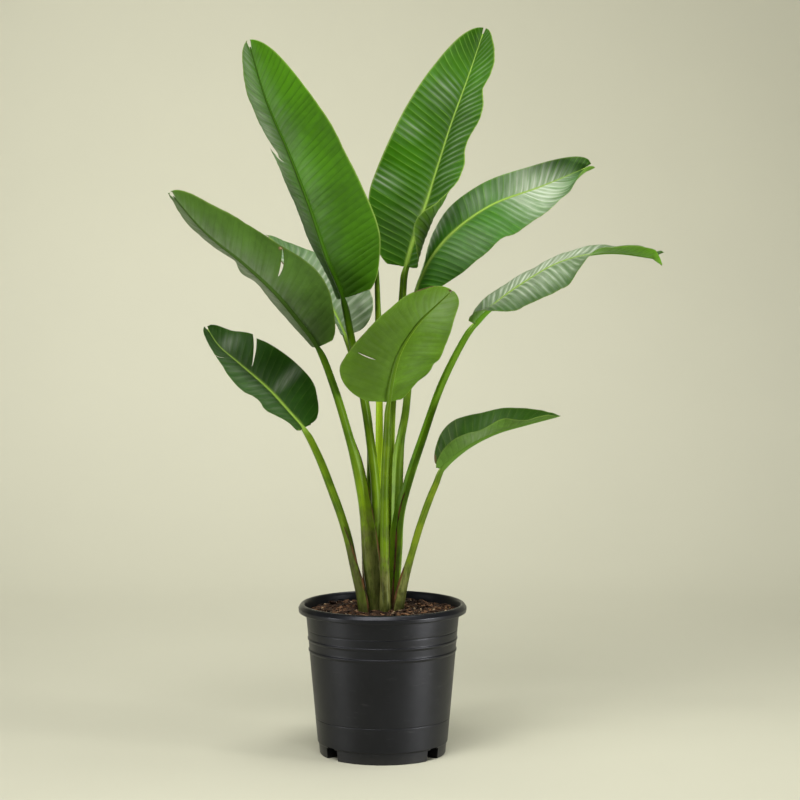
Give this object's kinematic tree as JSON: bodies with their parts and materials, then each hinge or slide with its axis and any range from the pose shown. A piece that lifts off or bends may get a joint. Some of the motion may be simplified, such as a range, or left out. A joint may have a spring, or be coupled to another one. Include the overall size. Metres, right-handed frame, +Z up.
{
  "type": "potted bird of paradise",
  "caption": "Bird of paradise plant with broad paddle leaves on long arching stalks, standing in soil in a round black nursery pot.",
  "frame": {"origin": "middle of the pot's underside, on the floor the pot stands on", "axes": "+Z up along the pot's axis, +X to the viewer's right in the picture, +Y away from the viewer"},
  "size_m": [0.7934, 0.2987, 1.2172],
  "materials": {
    "pot_plastic": "satin black moulded plastic",
    "potting_soil": "coarse bark and coir potting mix",
    "leaf_green": "living leaf, glossy above and duller below",
    "young_leaf": "rolled young leaf, yellow green"
  },
  "bodies": {
    "root": {"pot": "pot_plastic", "soil": "potting_soil", "leaf_tall_left": "leaf_green", "leaf_tall_middle": "leaf_green", "leaf_upper_right": "leaf_green", "leaf_far_right": "leaf_green", "leaf_low_right": "leaf_green", "leaf_front": "leaf_green", "leaf_middle_left": "leaf_green", "leaf_low_left": "leaf_green", "leaf_back_left": "leaf_green", "leaf_new_spear": "young_leaf"}
  },
  "joints": []
}
